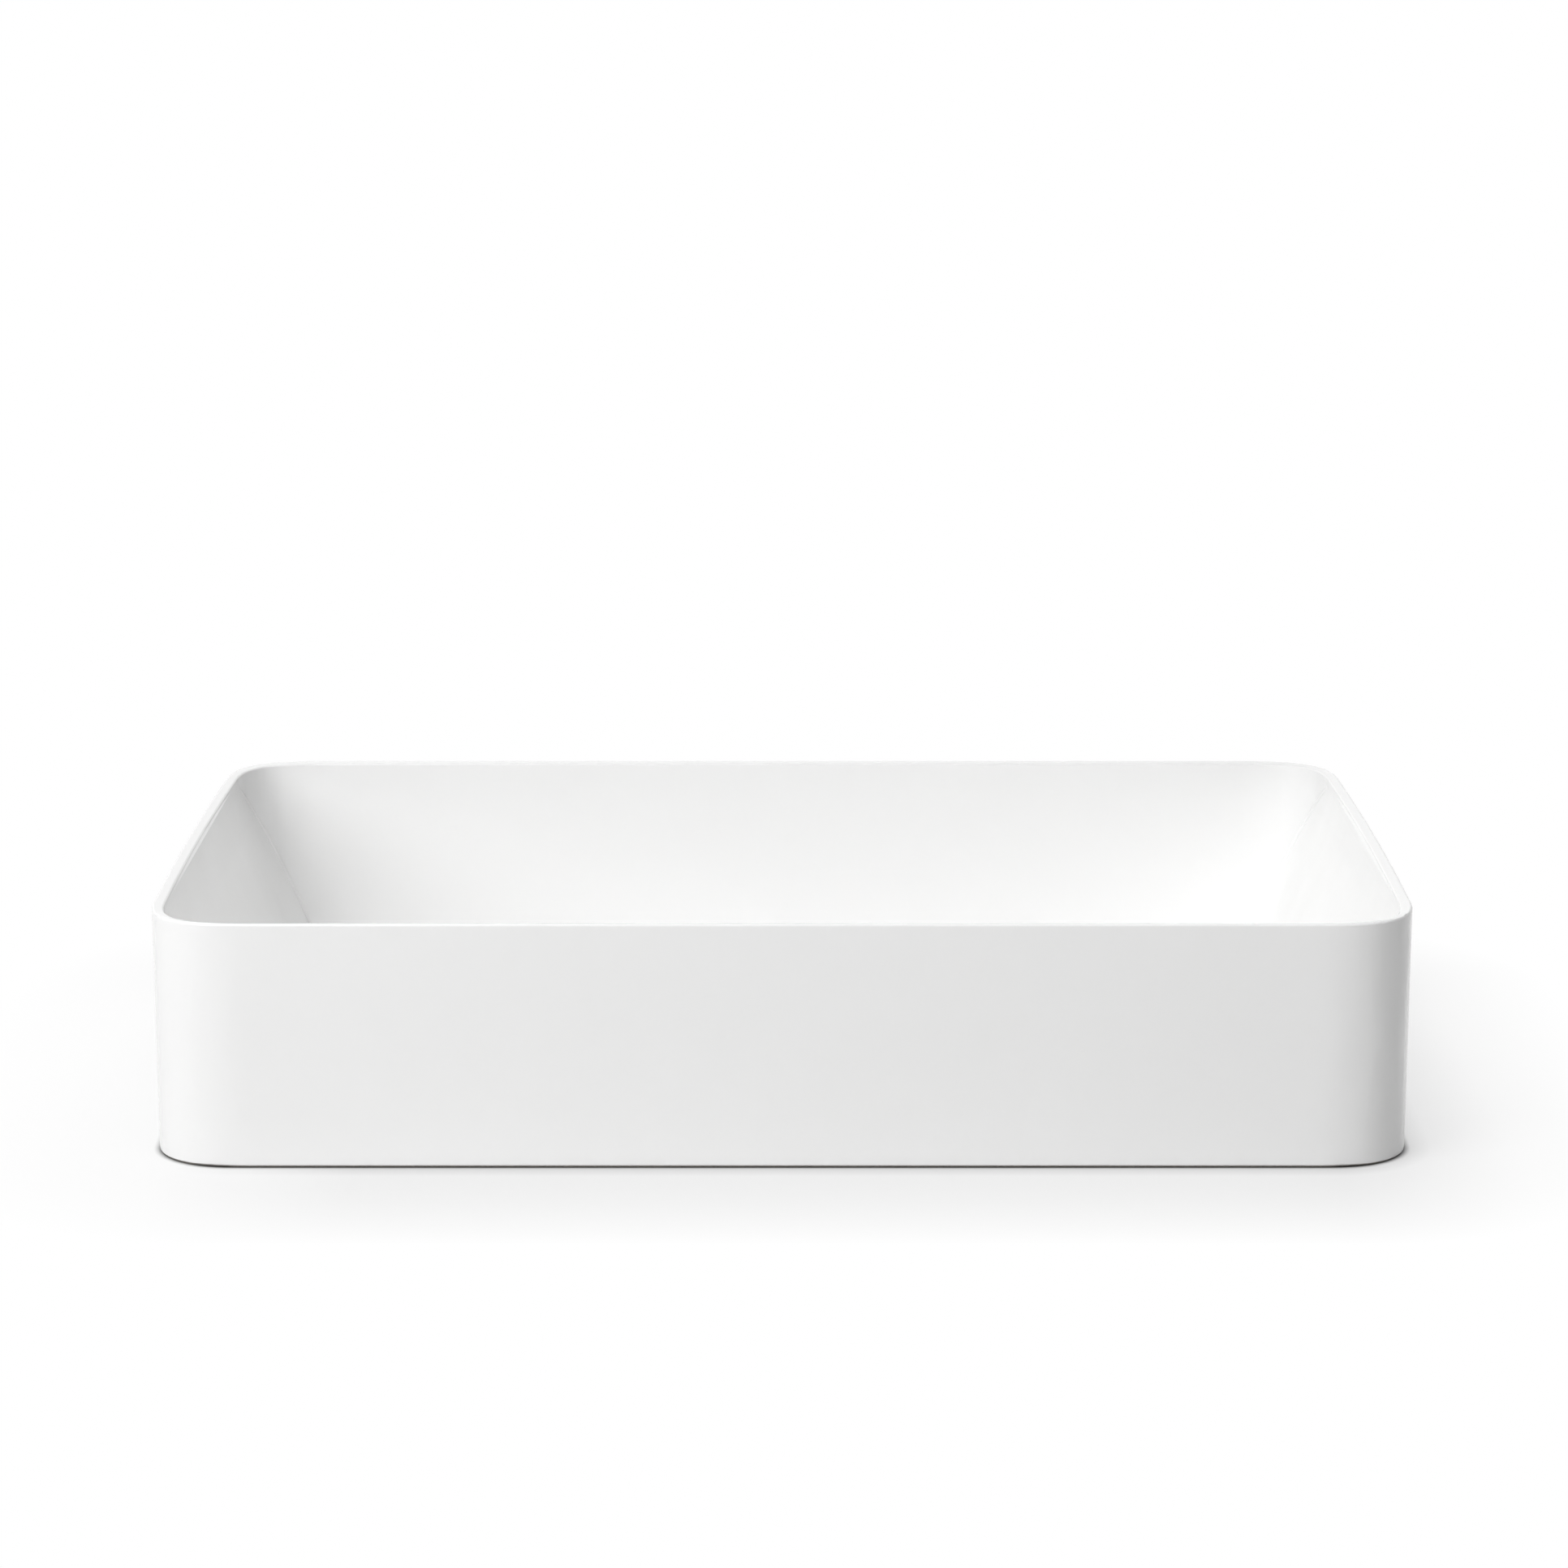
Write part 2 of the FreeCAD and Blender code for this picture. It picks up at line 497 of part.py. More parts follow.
def cartridge_cap():
    """Cap with a spigot in the sleeve, the plunger's guide bore and the wiper's groove."""
    spigot = CHAMBER_RADIUS - THREAD_CLEARANCE
    guide = PLUNGER_RADIUS + RUNNING_CLEARANCE
    wiper_z = (SLEEVE_TOP_Z + CARTRIDGE_TOP_Z) / 2
    groove = WIPER_SECTION + WIPER_GROOVE_CLEARANCE
    groove_radius = PLUNGER_RADIUS + 2 * WIPER_SECTION + WIPER_GROOVE_CLEARANCE
    cap = revolve([
        (guide, CHAMBER_TOP_Z), (spigot, CHAMBER_TOP_Z), (spigot, SLEEVE_TOP_Z),
        (SLEEVE_RADIUS, SLEEVE_TOP_Z), (SLEEVE_RADIUS, CARTRIDGE_TOP_Z - CAP_CHAMFER),
        (SLEEVE_RADIUS - CAP_CHAMFER, CARTRIDGE_TOP_Z), (guide, CARTRIDGE_TOP_Z)])
    return cap.cut(ring(PLUNGER_RADIUS, groove_radius, wiper_z - groove, wiper_z + groove))


def wiper_ring():
    """Rubber ring in the cap's groove, its lip just clear of the plunger."""
    lip = PLUNGER_RADIUS + RUNNING_CLEARANCE
    middle = (SLEEVE_TOP_Z + CARTRIDGE_TOP_Z) / 2
    return revolve([
        (lip, middle), (lip + WIPER_SECTION, middle - WIPER_SECTION),
        (lip + 2 * WIPER_SECTION, middle - WIPER_SECTION),
        (lip + 2 * WIPER_SECTION, middle + WIPER_SECTION),
        (lip + WIPER_SECTION, middle + WIPER_SECTION)])


def track_pin_shape():
    """The fixed pin, pointing along X, from inside the track out to the sleeve's surface."""
    inner = DRUM_RADIUS - TRACK_DEPTH + TRACK_FLOOR_GAP
    start = V(inner, 0, TRACK_PIN_Z)
    return Part.makeCylinder(TRACK_PIN_RADIUS, SLEEVE_RADIUS - inner, start, V(1, 0, 0))


def track_pin():
    return track_pin_shape()


def track_leg(angle, tilt, length):
    """Cutter for a straight slanted leg of the track, its middle at this angle."""
    half = TRACK_PIN_RADIUS + TRACK_CLEARANCE
    leg = Part.makeBox(TRACK_DEPTH + 1, length, 2 * half, V(0, -length / 2, -half))
    leg.rotate(V(0, 0, 0), V(1, 0, 0), tilt)
    leg.translate(V(DRUM_RADIUS - TRACK_DEPTH, 0, TRACK_PIN_Z + STROKE / 2))
    return leg.rotate(V(0, 0, 0), UP, angle)


def track_turn(angle, height):
    """Cutter for a round turning point of the track."""
    radius = TRACK_PIN_RADIUS + TRACK_CLEARANCE
    start = V(DRUM_RADIUS - TRACK_DEPTH, 0, height)
    turn = Part.makeCylinder(radius, TRACK_DEPTH + 1, start, V(1, 0, 0))
    return turn.rotate(V(0, 0, 0), UP, angle)


def latch_drum():
    """Barrel that turns on the plunger: its zigzag track runs on the fixed pin."""
    drum = ring(PLUNGER_RADIUS + RUNNING_CLEARANCE, DRUM_RADIUS, DRUM_LOW_Z, DRUM_TOP_Z)
    leg_width = DRUM_RADIUS * math.radians(STEP_ANGLE)
    climb = math.degrees(math.atan2(STROKE, leg_width))
    length = math.hypot(STROKE, leg_width)
    for k in range(round(180 / STEP_ANGLE)):
        low_turn = 2 * STEP_ANGLE * k
        drum = drum.cut(track_turn(low_turn, TRACK_PIN_Z))
        drum = drum.cut(track_turn(low_turn + STEP_ANGLE, TRACK_PIN_Z + STROKE))
        for side in (1, -1):
            leg = track_leg(low_turn + side * STEP_ANGLE / 2, side * climb, length)
            drum = drum.cut(leg)
    return drum


def return_spring():
    rise = THRUST_LOW_Z - CHAMBER_FLOOR_Z - 2 * SPRING_WIRE_RADIUS
    coil = Part.makeHelix(rise / SPRING_TURNS, rise, SPRING_MEAN_RADIUS)
    section = []
    for k in range(SPRING_WIRE_SIDES + 1):
        turn = 2 * math.pi * k / SPRING_WIRE_SIDES
        section.append(V(SPRING_MEAN_RADIUS + SPRING_WIRE_RADIUS * math.sin(turn), 0,
                         SPRING_WIRE_RADIUS * math.cos(turn)))
    spring = Part.Wire(coil).makePipeShell([Part.makePolygon(section)], True, True)
    spring.translate(V(0, 0, CHAMBER_FLOOR_Z + SPRING_WIRE_RADIUS))
    return spring


def thrust_washer():
    return ring(CLIP_RADIUS + LOOSE_CLEARANCE, DRUM_RADIUS, THRUST_LOW_Z,
                DRUM_LOW_Z - AXIAL_CLEARANCE)


def plunger():
    """Rod with the collar that stops it under the cap and a groove for the clip."""
    groove = PLUNGER_RADIUS - CLIP_GROOVE_DEPTH
    return revolve([
        (0, PLUNGER_LOW_Z), (groove, PLUNGER_LOW_Z),
        (PLUNGER_RADIUS, PLUNGER_LOW_Z + CLIP_GROOVE_DEPTH), (PLUNGER_RADIUS, CLIP_LOW_Z),
        (groove, CLIP_LOW_Z), (groove, CLIP_TOP_Z), (PLUNGER_RADIUS, CLIP_TOP_Z),
        (PLUNGER_RADIUS, COLLAR_LOW_Z), (COLLAR_RADIUS, COLLAR_LOW_Z),
        (COLLAR_RADIUS, COLLAR_TOP_Z), (PLUNGER_RADIUS, COLLAR_TOP_Z),
        (PLUNGER_RADIUS, PLUNGER_TOP_Z), (0, PLUNGER_TOP_Z)])


def plunger_clip():
    """Open spring clip that snaps into the plunger's groove from the side."""
    bore = PLUNGER_RADIUS - CLIP_GROOVE_DEPTH + THREAD_CLEARANCE
    clip = ring(bore, CLIP_RADIUS, CLIP_LOW_Z, CLIP_TOP_Z)
    half = bore * CLIP_MOUTH
    mouth = Part.makeBox(CLIP_RADIUS, 2 * half, CLIP_THICKNESS, V(0, -half, CLIP_LOW_Z))
    return clip.cut(mouth)


# ---- plug, modelled open ----
def plug_carrier():
    """Disc whose rim holds the seal against the cap."""
    rim_top = CARRIER_LOW_Z + CARRIER_RIM_THICKNESS
    hole = CAP_HUB_RADIUS + THREAD_CLEARANCE
    return revolve([
        (hole, CARRIER_LOW_Z), (CARRIER_RIM_RADIUS, CARRIER_LOW_Z),
        (CARRIER_RIM_RADIUS, rim_top), (CARRIER_CORE_RADIUS, rim_top),
        (CARRIER_CORE_RADIUS, CAP_UNDER_Z), (hole, CAP_UNDER_Z)])


def plug_seal():
    """Seal whose underside follows the flange's cone, just clear of it when the plug is down."""
    core = CARRIER_CORE_RADIUS + THREAD_CLEARANCE
    cone_low = SEAT_CONE_LOW_Z + CLOSED_GAP + STROKE
    cone_slope = SEAT_CONE_FALL / (SEAT_CONE_OUTER - SEAT_CONE_INNER)
    edge_z = cone_low + cone_slope * (PLUG_SEAL_RADIUS - SEAT_CONE_INNER)
    return revolve([
        (core, CARRIER_LOW_Z + CARRIER_RIM_THICKNESS),
        (CARRIER_RIM_RADIUS, CARRIER_LOW_Z + CARRIER_RIM_THICKNESS),
        (SEAT_CONE_INNER, cone_low), (PLUG_SEAL_RADIUS, edge_z),
        (PLUG_SEAL_RADIUS, CAP_UNDER_Z), (core, CAP_UNDER_Z)])


def plug_cap():
    """Slightly domed cap with the hub that screws on the plunger."""
    edge_z = CAP_UNDER_Z + CAP_EDGE_THICKNESS
    dome_radius = (CAP_RADIUS ** 2 + CAP_CROWN ** 2) / (2 * CAP_CROWN)
    dome = Part.makeSphere(dome_radius, V(0, 0, edge_z + CAP_CROWN - dome_radius), V(1, 0, 0))
    cap = disc(CAP_RADIUS, CAP_UNDER_Z, edge_z + CAP_CROWN + 1).common(dome)
    cap = cap.makeChamfer(CAP_EDGE_CHAMFER, circles_at(cap, CAP_RADIUS, edge_z))
    cap = cap.fuse(disc(CAP_HUB_RADIUS, CAP_UNDER_Z - CAP_HUB_LENGTH, CAP_UNDER_Z + 1))
    bore = disc(PLUNGER_RADIUS + THREAD_CLEARANCE, CAP_UNDER_Z - CAP_HUB_LENGTH - 1,
                PLUNGER_TOP_Z)
    return cap.cut(bore).removeSplitter()


# ---- list of pieces ----
PIECES = [basin_bowl, flange_seal, waste_body, cone_seal, slip_washer, back_nut,
          tail_seal, tail_pipe,
          cartridge_body, cartridge_lock_nut, cartridge_cap, wiper_ring, track_pin,
          return_spring, thrust_washer, latch_drum, plunger, plunger_clip,
          plug_carrier, plug_seal, plug_cap]


def main():
    os.makedirs("parts", exist_ok=True)
    for make in PIECES:
        make().exportStep(f"parts/{make.__name__}.step")


main()
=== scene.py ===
"""A white countertop basin with its push-open waste, on a pale floor in soft studio light."""
import bmesh
import bpy
import json
import math
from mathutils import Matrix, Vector


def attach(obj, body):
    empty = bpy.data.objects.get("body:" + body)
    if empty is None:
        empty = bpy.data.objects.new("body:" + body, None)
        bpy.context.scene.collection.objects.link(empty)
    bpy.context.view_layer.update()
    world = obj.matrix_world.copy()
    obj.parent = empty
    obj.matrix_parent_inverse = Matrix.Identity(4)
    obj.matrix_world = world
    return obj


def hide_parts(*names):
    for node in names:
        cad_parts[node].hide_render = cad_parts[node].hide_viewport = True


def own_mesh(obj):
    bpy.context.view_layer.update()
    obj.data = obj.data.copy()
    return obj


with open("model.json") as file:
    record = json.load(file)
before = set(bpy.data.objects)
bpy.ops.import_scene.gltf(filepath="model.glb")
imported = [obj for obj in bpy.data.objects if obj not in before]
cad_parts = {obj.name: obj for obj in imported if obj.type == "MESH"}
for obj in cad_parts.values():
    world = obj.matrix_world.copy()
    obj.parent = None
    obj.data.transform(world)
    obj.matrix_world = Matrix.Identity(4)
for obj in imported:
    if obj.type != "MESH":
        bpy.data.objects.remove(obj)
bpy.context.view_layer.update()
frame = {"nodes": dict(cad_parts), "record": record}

# Lengths are in metres unless a comment says otherwise.

# ---- camera ----
PICTURE_WIDTH = 1932                 # pixels
FOCAL_PIXELS = 5580
SENSOR_WIDTH = 36.0                  # millimetres
CAMERA_TILT = math.radians(11.82)    # below the horizon
CAMERA_PLACE = Vector((0.0009, -2.235, 0.6125))

# ---- lamps ----
LAMP_DISTANCE = 3.0                  # from the middle of the bowl's foot
LAMP_SIZE = 1.8
# name, degrees from the front towards the left, degrees up, watts, seen in reflections
LAMPS = [
    ("key_left_high", 45, 60, 34, True),
    ("key_left_low", 45, 30, 39, True),
    ("front_high", 0, 60, 8, True),
    ("right_high", -45, 60, 13.5, True),
    ("back_low", 180, 30, 45, False),
]

# ---- floor ----
FLOOR_SIZE = 12.0
FLOOR_GLOW = 0.75                    # share of plain white that the eye sees near the bowl
FLOOR_FADE = (0.0, 0.12)             # it grows to all white between these distances
CONTACT_REACH = (0.0, 0.004)         # the painted contact shadow where the foot stands on the floor
# painted shade: these two darken the floor's white near the foot at front and back
SOFT_SHADE = 0.17                    # strength at the foot of a wide shade at front and back,
SOFT_REACH = 0.12                    # and how far it reaches
CLOSE_SHADE = 0.25                   # the same for a narrow shade
CLOSE_REACH = 0.014
SHADE_ENDS = (0.23, 0.32)            # both fade out between these distances along X,
SHADE_SHIFT = 0.03                   # measured from here, away from the key lamps

# ---- where the bowl's finish changes ----
CLAY_TOP = 0.0011                    # the ground foot is bare below this height, and painted dark there as the shade of its contact line
UNDERSIDE_TOP = 0.015                # halfway through the floor of the bowl
APRON_MIDDLE = (0.2955, 0.183)       # half length and depth, halfway through the outer walls
APRON_CORNER = 0.030                 # corner radius of that outline
FOOT_OUTLINE = (0.2979, 0.1879)      # half length and depth of the foot on the floor
FOOT_CORNER = 0.035
END_BOW = 0.08                       # the ends swell: X falls by this times the square of Y
END_WALL_FOOT = 0.2502               # middle of the sloping end wall, produced to z = 0,
END_WALL_LEAN = 0.435                # and how far out it goes for each metre up
END_WALL_TOP = 0.075                 # the wedge behind the end wall stays below this

# ---- how the pieces are smoothed and shaped ----
MERGE_WITHIN = 0.000002              # corners of facets this close are one
SMOOTH_BELOW = math.radians(28)      # facets that meet at less than this are one surface,
WIRE_SMOOTH_BELOW = math.radians(80)  # and on the spring's wire, less than this
RIM_LOW = 0.11735                    # foot of the chamfer inside the rim
RIM_FALL = 0.0007                    # how much lower the rim is on the side of the water
INWARD = -0.0001                     # a face's level normal times its place, if it looks in
CREASE_HEIGHTS = (0.030, 0.114)      # the bowl's corner creases run between these heights
END_WALL_TURN = 0.02                 # the Y of an end wall's normal stays below this,
CORNER_WALL_TURN = 0.05              # and that of a corner wall's is above this
BEAD_HALF_WIDTH = 0.0013
BEAD_HEIGHT = 0.0007
BEAD_FOOT = (0.035, 0.060)           # the bead sinks into the walls between these heights
BEAD_HEAD = (0.102, 0.112)           # and again between these
SLIVER = 0.00001                     # edges that the bead leaves below this length are closed
EVEN_SHADING = 80                    # how much the large faces lead the shading, of 100

# ---- colours, from where a finish's noise is lowest to where it is highest ----
GLAZE = (0.915, 0.915, 0.912), (0.93, 0.93, 0.928)
BISCUIT = (0.80, 0.78, 0.73), (0.66, 0.63, 0.57)
# bare clay of the foot, made dark as painted shade of its contact line
GROUND_FOOT_AND_SHADE = (0.30, 0.28, 0.26), (0.42, 0.39, 0.35)
CHROME = (0.74, 0.75, 0.76), (0.80, 0.81, 0.82)
BRASS = (0.60, 0.44, 0.20), (0.74, 0.57, 0.30)
STEEL = (0.50, 0.51, 0.52), (0.66, 0.67, 0.68)
BLACK_RUBBER = (0.018, 0.018, 0.018), (0.035, 0.035, 0.035)
PALE_RUBBER = (0.60, 0.60, 0.58), (0.72, 0.72, 0.70)
WHITE_PLASTIC = (0.74, 0.74, 0.72), (0.82, 0.82, 0.80)
BLACK_PLASTIC = (0.03, 0.03, 0.032), (0.05, 0.05, 0.053)
GREY_PLASTIC = (0.40, 0.41, 0.42), (0.48, 0.49, 0.50)
NATURAL_PLASTIC = (0.72, 0.69, 0.62), (0.80, 0.77, 0.70)
PAPER = (0.79, 0.79, 0.79), (0.81, 0.81, 0.81)
# the painted contact shadow on the floor
CONTACT_SHADOW_DARK = (0.10, 0.10, 0.10), (0.12, 0.12, 0.12)

# ---- roughness: the least, and what a finish's noise adds ----
GLAZE_ROUGHNESS = 0.15, 0.06
CHROME_ROUGHNESS = 0.06, 0.07
BRASS_ROUGHNESS = 0.28, 0.15
STEEL_ROUGHNESS = 0.25, 0.15
RUBBER_ROUGHNESS = 0.62, 0.2
PLASTIC_ROUGHNESS = 0.42, 0.12
CLAY_ROUGHER = 0.55                  # what bare clay adds to the glaze's roughness
GLAZE_COAT = 0.25

# ---- heights of the relief ----
GLAZE_WAVES = 0.0006
GLAZE_PEEL = 0.000012
CLAY_GRIT = 0.00008
CHROME_WAVES = 0.000004
LATHE_RINGS = 0.00002
DRAWING_LINES = 0.00001
RUBBER_GRAIN = 0.00003
PLASTIC_GRAIN = 0.00002


# ---- shader expressions ----
class Value:
    """A socket of a node tree that can be used in sums and products."""

    def __init__(self, tree, socket):
        self.tree = tree
        self.socket = socket

    def math(self, operation, *others):
        return self.tree.add("ShaderNodeMath", {"operation": operation}, self, *others)

    def __add__(self, other):
        return self.math("ADD", other)

    __radd__ = __add__

    def __sub__(self, other):
        return self.math("SUBTRACT", other)

    def __rsub__(self, other):
        return self.tree.add("ShaderNodeMath", {"operation": "SUBTRACT"}, other, self)

    def __mul__(self, other):
        return self.math("MULTIPLY", other)

    __rmul__ = __mul__

    def __truediv__(self, other):
        return self.math("DIVIDE", other)

    def __gt__(self, other):
        return self.math("GREATER_THAN", other)

    def __lt__(self, other):
        return self.math("LESS_THAN", other)

    def __abs__(self):
        return self.math("ABSOLUTE")

    def clamp(self):
        return self.tree.add("ShaderNodeClamp", {}, self)

    def between(self, low, high):
        """0 below low, 1 above high, and a straight ramp from one to the other."""
        return ((self - low) / (high - low)).clamp()

    def raised(self, least, more):
        """From least, where this is 0, to least and more, where it is 1."""
        return least + more * self


class Tree:
    """The nodes of a new material or of the world, with one method that adds any node."""

    def __init__(self, owner):
        owner.use_nodes = True
        self.owner = owner
        self.nodes = owner.node_tree.nodes
        self.links = owner.node_tree.links
        self.nodes.clear()

    def add(self, kind, settings, *inputs, out=0, **named):
        """Adds a node; inputs go to its sockets in order, named ones by socket name.

        None leaves a socket as it is.
        """
        node = self.nodes.new(kind)
        for key, value in settings.items():
            if key == "stops":
                self.set_stops(node.color_ramp, value)
            else:
                setattr(node, key, value)
        given = list(zip(node.inputs, inputs))
        given += [(node.inputs[key.replace("_", " ")], value) for key, value in named.items()]
        for socket, value in given:
            if isinstance(value, Value):
                self.links.new(value.socket, socket)
            elif value is not None:
                socket.default_value = value
        return Value(self, node.outputs[out]) if node.outputs else None

    @staticmethod
    def set_stops(ramp, stops):
        while len(ramp.elements) < len(stops):
            ramp.elements.new(0.5)
        for element, (place, colour) in zip(ramp.elements, stops):
            element.position = place
            element.color = (*colour, 1)

    def place(self):
        """Where a point is on the object."""
        return self.add("ShaderNodeTexCoord", {}, out="Object")

    def xyz(self):
        """The three numbers of that place."""
        split = self.add("ShaderNodeSeparateXYZ", {}, self.place())
        return [Value(self, socket) for socket in split.socket.node.outputs]

    def beyond(self, half_sizes, corner):
        """How far a point lies outside an upright block with rounded corners and bowed ends."""
        x, y, _ = self.xyz()
        past = [(along - (half - corner)).math("MAXIMUM", 0.0)
                for along, half in zip((abs(x) + y * y * END_BOW, abs(y)), half_sizes)]
        return (past[0] * past[0] + past[1] * past[1]).math("SQRT") - corner

    def noise(self, grains, detail=3.0, stretch=(1, 1, 1)):
        """Noise from 0 to 1 with so many grains a metre, and more along a stretched axis."""
        spot = self.add("ShaderNodeVectorMath", {"operation": "MULTIPLY"}, self.place(), stretch)
        return self.add("ShaderNodeTexNoise", {}, spot, Scale=grains, Detail=detail)

    def colours(self, mask, low, high):
        """A colour that goes from low to high as mask goes from 0 to 1."""
        return self.add("ShaderNodeValToRGB", {"stops": [(0, low), (1, high)]}, mask)

    def mix(self, mask, first, second):
        """The first colour where mask is 0 and the second where it is 1."""
        between = [None] * 5         # the sockets for numbers and vectors
        return self.add("ShaderNodeMix", {"data_type": "RGBA"}, mask, *between, first, second,
                        out=2)       # the result as a colour

    def relief(self, height, edge_radius):
        """Surface relief of this height, on edges rounded over edge_radius."""
        rounded = self.add("ShaderNodeBevel", {"samples": 6}, edge_radius)
        return self.add("ShaderNodeBump", {}, Strength=1.0, Distance=1.0, Height=height,
                        Normal=rounded)

    def show(self, surface):
        """The material that shows this surface."""
        self.add("ShaderNodeOutputMaterial", {}, surface)
        return self.owner

    def finish(self, **sockets):
        """A Principled surface with these sockets."""
        return self.show(self.add("ShaderNodeBsdfPrincipled", {}, **sockets))


# ---- finishes ----
def new_material(name):
    """The empty tree of a new material."""
    return Tree(bpy.data.materials.new(name))


def glaze():
    """White glaze with faint waves and pits, and bare clay on the foot and underside; the foot's
    clay is painted dark as the shade where it meets the floor.
    """
    t = new_material("glaze")
    x, _, z = t.xyz()
    inside_apron = t.beyond(APRON_MIDDLE, APRON_CORNER) < 0.0
    behind_end = (abs(x) > z * END_WALL_LEAN + END_WALL_FOOT) * (z < END_WALL_TOP)
    hollow = inside_apron * ((z < UNDERSIDE_TOP) + behind_end).clamp()
    ground_and_shaded_foot = z < CLAY_TOP
    clay = (ground_and_shaded_foot + hollow).clamp()
    speckle = t.noise(900, detail=2).between(0.62, 0.7)
    white = t.colours(t.noise(3, detail=1), *GLAZE)
    biscuit = t.colours(t.noise(45) * 0.7 + speckle * 0.3, *BISCUIT)
    # painted shade: the bare foot is coloured dark to draw the shade where it stands on the floor
    foot_clay_and_shade = t.colours(t.noise(300), *GROUND_FOOT_AND_SHADE)
    waves = t.noise(9, detail=2) * GLAZE_WAVES
    peel = t.noise(260, detail=2) * GLAZE_PEEL
    grit = t.noise(1600, detail=2) * CLAY_GRIT
    return t.finish(
        Base_Color=t.mix(ground_and_shaded_foot, t.mix(clay, white, biscuit), foot_clay_and_shade),
        Roughness=t.noise(40).raised(*GLAZE_ROUGHNESS) + clay * CLAY_ROUGHER,
        Coat_Weight=GLAZE_COAT - clay * GLAZE_COAT,
        Coat_Roughness=0.06,
        Normal=t.relief(waves + peel + clay * grit, edge_radius=0.0005))


def chrome():
    """Polished plate with faint wipe marks."""
    t = new_material("chrome_plate")
    smears = t.noise(60, detail=4).between(0.45, 0.75)
    return t.finish(
        Base_Color=t.colours(t.noise(20), *CHROME),
        Metallic=1.0,
        Roughness=smears.raised(*CHROME_ROUGHNESS),
        Normal=t.relief(t.noise(900, detail=2) * CHROME_WAVES, edge_radius=0.0003))


def turned_brass():
    """Brass with the fine rings that a lathe leaves."""
    t = new_material("turned_brass")
    rings = t.noise(30, detail=2, stretch=(1, 1, 60))
    return t.finish(
        Base_Color=t.colours(t.noise(120), *BRASS),
        Metallic=1.0,
        Roughness=rings.raised(*BRASS_ROUGHNESS),
        Normal=t.relief(rings * LATHE_RINGS, edge_radius=0.0002))


def steel():
    """Drawn stainless wire and strip."""
    t = new_material("stainless_steel")
    drawn = t.noise(80, stretch=(1, 1, 12))
    return t.finish(
        Base_Color=t.colours(drawn, *STEEL),
        Metallic=1.0,
        Roughness=drawn.raised(*STEEL_ROUGHNESS),
        Normal=t.relief(drawn * DRAWING_LINES, edge_radius=0.0001))


def rubber(name, colours):
    """Matt rubber with a fine grain."""
    t = new_material(name)
    return t.finish(
        Base_Color=t.colours(t.noise(300), *colours),
        Roughness=t.noise(500).raised(*RUBBER_ROUGHNESS),
        Normal=t.relief(t.noise(1500) * RUBBER_GRAIN, edge_radius=0.0004))


def moulded(name, colours):
    """Moulded plastic with a faint grain."""
    t = new_material(name)
    return t.finish(
        Base_Color=t.colours(t.noise(70), *colours),
        Roughness=t.noise(180).raised(*PLASTIC_ROUGHNESS),
        Normal=t.relief(t.noise(2200, detail=2) * PLASTIC_GRAIN, edge_radius=0.0003))


def seen_rays(tree):
    """1 for the rays that reach the eye directly, off metal or through glass."""
    rays = tree.add("ShaderNodeLightPath", {}).socket.node.outputs
    camera, glossy, clear = [Value(tree, rays[name]) for name in
                             ("Is Camera Ray", "Is Glossy Ray", "Is Transmission Ray")]
    return (camera + glossy + clear).clamp()


def floor_finish():
    """Pale floor that turns white with distance and keeps the lamps' shadow near the bowl, with
    painted shade at front and back and a painted contact shadow along the foot.
    """
    t = new_material("studio_floor")
    x, _, _ = t.xyz()
    gap = t.beyond(FOOT_OUTLINE, FOOT_CORNER)
    clear = gap.between(*CONTACT_REACH)
    glow = clear * (gap.between(*FLOOR_FADE) * (1 - FLOOR_GLOW) + FLOOR_GLOW)
    shade = ((1 - gap.between(0.0, SOFT_REACH)) * SOFT_SHADE
             + (1 - gap.between(0.0, CLOSE_REACH)) * CLOSE_SHADE)
    shade = shade * (1 - abs(x - SHADE_SHIFT).between(*SHADE_ENDS))
    seen = seen_rays(t)
    paper = t.colours(t.noise(30), *PAPER)
    # painted contact shadow: a dark colour along the foot's outline
    contact_shadow = t.colours(t.noise(30), *CONTACT_SHADOW_DARK)
    matt = t.add("ShaderNodeBsdfDiffuse", {}, t.mix(clear, contact_shadow, paper))
    # painted shade: the white that the eye sees is darkened near the foot at front and back
    white = t.add("ShaderNodeEmission", {}, t.colours(shade, (1, 1, 1), (0, 0, 0)), 1.0)
    return t.show(t.add("ShaderNodeMixShader", {}, seen * glow, matt, white))


# ---- pieces ----
def smooth_copy(node):
    """A copy of a CAD node with its facets joined and shaded as the smooth surface they follow."""
    bpy.ops.object.select_all(action="DESELECT")
    piece = bpy.data.objects.new(node + "_finished", frame["nodes"][node].data.copy())
    bpy.context.collection.objects.link(piece)
    piece.select_set(True)
    bpy.context.view_layer.objects.active = piece
    if piece.data.has_custom_normals:
        bpy.ops.mesh.customdata_custom_splitnormals_clear()
    bpy.ops.object.mode_set(mode="EDIT")
    bpy.ops.mesh.select_all(action="SELECT")
    bpy.ops.mesh.remove_doubles(threshold=MERGE_WITHIN)
    bpy.ops.object.mode_set(mode="OBJECT")
    limit = WIRE_SMOOTH_BELOW if node == "return_spring" else SMOOTH_BELOW
    bpy.ops.object.shade_smooth_by_angle(angle=limit)
    if node == "basin_bowl":
        reshape(piece, slope_rim)
        reshape(piece, bead_creases)
        even_shading(piece)
    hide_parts(node)
    return piece


def reshape(piece, change):
    """Makes one change to the mesh of a piece."""
    shape = bmesh.new()
    shape.from_mesh(piece.data)
    change(shape)
    shape.normal_update()
    shape.to_mesh(piece.data)
    shape.free()


